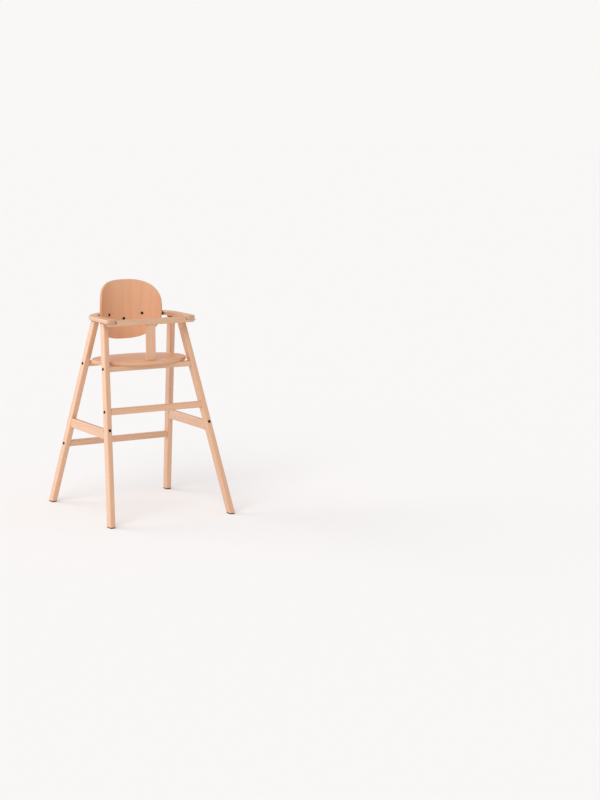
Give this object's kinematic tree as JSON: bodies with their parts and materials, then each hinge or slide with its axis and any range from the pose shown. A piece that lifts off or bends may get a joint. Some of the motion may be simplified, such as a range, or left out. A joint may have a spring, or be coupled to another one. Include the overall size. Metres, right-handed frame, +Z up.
{
  "type": "high chair",
  "caption": "Wooden baby high chair with splayed legs under curved armrests, an oval seat, a curved backrest and a removable safety bar on a crotch post.",
  "frame": {"origin": "on the floor under the middle of the chair", "axes": "+Z up, the seated child faces -Y, +X is the chair's right seen from the front"},
  "size_m": [0.5296, 0.5944, 0.89],
  "materials": {
    "beech": "oiled solid beech",
    "beech_veneer": "lacquered beech veneer on moulded plywood",
    "dowel": "fluted beech",
    "glide": "moulded nylon",
    "pad": "dark rubber",
    "black_bolt": "black oxide steel",
    "zinc_steel": "zinc plated"
  },
  "bodies": {
    "chair": {"leg_front_left": "beech", "leg_front_right": "beech", "leg_rear_left": "beech", "leg_rear_right": "beech", "glide_front_left": "glide", "glide_front_right": "glide", "glide_rear_left": "glide", "glide_rear_right": "glide", "armrest_left": "beech", "armrest_right": "beech", "backrest": "beech_veneer", "back_tie": "beech", "seat_panel": "beech_veneer", "seat_rail_front": "beech", "seat_rail_rear": "beech", "footrest_rail": "beech", "rear_cross_rail": "beech", "side_rail_left": "beech", "side_rail_right": "beech", "cross_bolts": "black_bolt", "side_bolts": "black_bolt", "barrel_nuts": "zinc_steel", "rail_dowels": "dowel", "arm_dowels": "dowel", "arm_pads": "pad", "back_bolts": "black_bolt", "back_spacers": "pad", "back_bumpers": "pad", "threaded_inserts": "zinc_steel", "tie_screws": "zinc_steel", "seat_screws": "zinc_steel", "glide_pins": "zinc_steel", "bar_screws": "black_bolt"},
    "bar": {"safety_bar": "beech", "crotch_post": "beech", "post_dowels": "dowel"}
  },
  "joints": [
    {"name": "bar_slide", "type": "slide", "parent": "chair", "child": "bar", "axis": [0, -1, 0], "range_m": [0, 0.15]}
  ]
}
